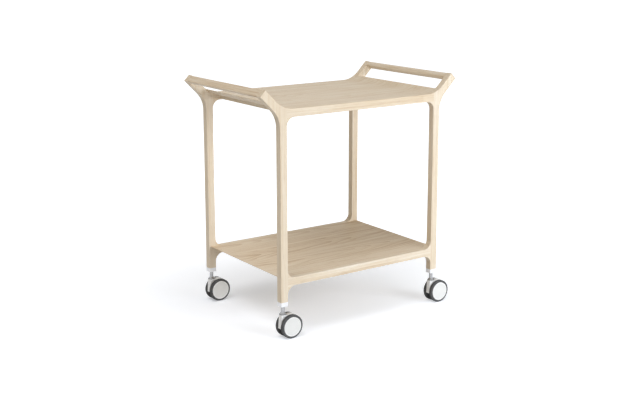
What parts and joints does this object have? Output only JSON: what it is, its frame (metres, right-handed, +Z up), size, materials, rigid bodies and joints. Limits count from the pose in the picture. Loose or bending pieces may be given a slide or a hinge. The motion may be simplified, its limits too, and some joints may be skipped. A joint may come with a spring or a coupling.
{
  "type": "serving trolley",
  "caption": "Two-tier serving trolley in pale wood with upturned tray ends, sloped handle arms and twin-wheel castors",
  "frame": {"origin": "on the floor, under the middle of the trolley's bounding box", "axes": "X along the trolley from the left handle to the right handle, Y from the front side frame to the back one, Z up"},
  "size_m": [0.7546, 0.48, 0.7708],
  "materials": {
    "frame_wood": "clear matt lacquer",
    "panel_wood": "clear matt lacquer",
    "ferrule_metal": "satin",
    "stem_metal": "satin",
    "seal_rubber": "matt",
    "castor_plastic": "semi-gloss",
    "hub_plastic": "matt",
    "tyre_rubber": "matt"
  },
  "bodies": {
    "frame": {"front_left_leg": "frame_wood", "front_left_ferrule": "ferrule_metal", "front_left_castor_stem": "stem_metal", "front_right_leg": "frame_wood", "front_right_ferrule": "ferrule_metal", "front_right_castor_stem": "stem_metal", "back_left_leg": "frame_wood", "back_left_ferrule": "ferrule_metal", "back_left_castor_stem": "stem_metal", "back_right_leg": "frame_wood", "back_right_ferrule": "ferrule_metal", "back_right_castor_stem": "stem_metal", "front_top_rail": "frame_wood", "front_bottom_rail": "frame_wood", "back_top_rail": "frame_wood", "back_bottom_rail": "frame_wood", "left_handle_bar": "frame_wood", "left_end_rail": "frame_wood", "right_handle_bar": "frame_wood", "right_end_rail": "frame_wood", "top_tray": "panel_wood", "bottom_shelf": "panel_wood", "joint_dowels": "frame_wood", "stem_inserts": "stem_metal"},
    "front_left_castor": {"front_left_castor_fork": "castor_plastic", "front_left_castor_seal": "seal_rubber", "front_left_castor_axle": "stem_metal"},
    "front_left_castor_outer_wheel": {"front_left_castor_outer_hub": "hub_plastic", "front_left_castor_outer_tyre": "tyre_rubber", "front_left_castor_outer_cover": "castor_plastic"},
    "front_left_castor_inner_wheel": {"front_left_castor_inner_hub": "hub_plastic", "front_left_castor_inner_tyre": "tyre_rubber", "front_left_castor_inner_cover": "castor_plastic"},
    "front_right_castor": {"front_right_castor_fork": "castor_plastic", "front_right_castor_seal": "seal_rubber", "front_right_castor_axle": "stem_metal"},
    "front_right_castor_outer_wheel": {"front_right_castor_outer_hub": "hub_plastic", "front_right_castor_outer_tyre": "tyre_rubber", "front_right_castor_outer_cover": "castor_plastic"},
    "front_right_castor_inner_wheel": {"front_right_castor_inner_hub": "hub_plastic", "front_right_castor_inner_tyre": "tyre_rubber", "front_right_castor_inner_cover": "castor_plastic"},
    "back_left_castor": {"back_left_castor_fork": "castor_plastic", "back_left_castor_seal": "seal_rubber", "back_left_castor_axle": "stem_metal"},
    "back_left_castor_outer_wheel": {"back_left_castor_outer_hub": "hub_plastic", "back_left_castor_outer_tyre": "tyre_rubber", "back_left_castor_outer_cover": "castor_plastic"},
    "back_left_castor_inner_wheel": {"back_left_castor_inner_hub": "hub_plastic", "back_left_castor_inner_tyre": "tyre_rubber", "back_left_castor_inner_cover": "castor_plastic"},
    "back_right_castor": {"back_right_castor_fork": "castor_plastic", "back_right_castor_seal": "seal_rubber", "back_right_castor_axle": "stem_metal"},
    "back_right_castor_outer_wheel": {"back_right_castor_outer_hub": "hub_plastic", "back_right_castor_outer_tyre": "tyre_rubber", "back_right_castor_outer_cover": "castor_plastic"},
    "back_right_castor_inner_wheel": {"back_right_castor_inner_hub": "hub_plastic", "back_right_castor_inner_tyre": "tyre_rubber", "back_right_castor_inner_cover": "castor_plastic"}
  },
  "joints": [
    {"name": "front_left_swivel", "type": "hinge", "parent": "frame", "child": "front_left_castor", "pos_m": [-0.2975, -0.2185, 0.0773], "axis": [0, 0, 1], "continuous": true},
    {"name": "front_left_outer_wheel_roll", "type": "hinge", "parent": "front_left_castor", "child": "front_left_castor_outer_wheel", "pos_m": [-0.2745, -0.2321, 0.0375], "axis": [0, 1, 0], "continuous": true},
    {"name": "front_left_inner_wheel_roll", "type": "hinge", "parent": "front_left_castor", "child": "front_left_castor_inner_wheel", "pos_m": [-0.2745, -0.2049, 0.0375], "axis": [0, 1, 0], "continuous": true},
    {"name": "front_right_swivel", "type": "hinge", "parent": "frame", "child": "front_right_castor", "pos_m": [0.2975, -0.2185, 0.0773], "axis": [0, 0, 1], "continuous": true},
    {"name": "front_right_outer_wheel_roll", "type": "hinge", "parent": "front_right_castor", "child": "front_right_castor_outer_wheel", "pos_m": [0.3205, -0.2321, 0.0375], "axis": [0, 1, 0], "continuous": true},
    {"name": "front_right_inner_wheel_roll", "type": "hinge", "parent": "front_right_castor", "child": "front_right_castor_inner_wheel", "pos_m": [0.3205, -0.2049, 0.0375], "axis": [0, 1, 0], "continuous": true},
    {"name": "back_left_swivel", "type": "hinge", "parent": "frame", "child": "back_left_castor", "pos_m": [-0.2975, 0.2185, 0.0773], "axis": [0, 0, 1], "continuous": true},
    {"name": "back_left_outer_wheel_roll", "type": "hinge", "parent": "back_left_castor", "child": "back_left_castor_outer_wheel", "pos_m": [-0.2745, 0.2321, 0.0375], "axis": [0, 1, 0], "continuous": true},
    {"name": "back_left_inner_wheel_roll", "type": "hinge", "parent": "back_left_castor", "child": "back_left_castor_inner_wheel", "pos_m": [-0.2745, 0.2049, 0.0375], "axis": [0, 1, 0], "continuous": true},
    {"name": "back_right_swivel", "type": "hinge", "parent": "frame", "child": "back_right_castor", "pos_m": [0.2975, 0.2185, 0.0773], "axis": [0, 0, 1], "continuous": true},
    {"name": "back_right_outer_wheel_roll", "type": "hinge", "parent": "back_right_castor", "child": "back_right_castor_outer_wheel", "pos_m": [0.3205, 0.2321, 0.0375], "axis": [0, 1, 0], "continuous": true},
    {"name": "back_right_inner_wheel_roll", "type": "hinge", "parent": "back_right_castor", "child": "back_right_castor_inner_wheel", "pos_m": [0.3205, 0.2049, 0.0375], "axis": [0, 1, 0], "continuous": true}
  ]
}
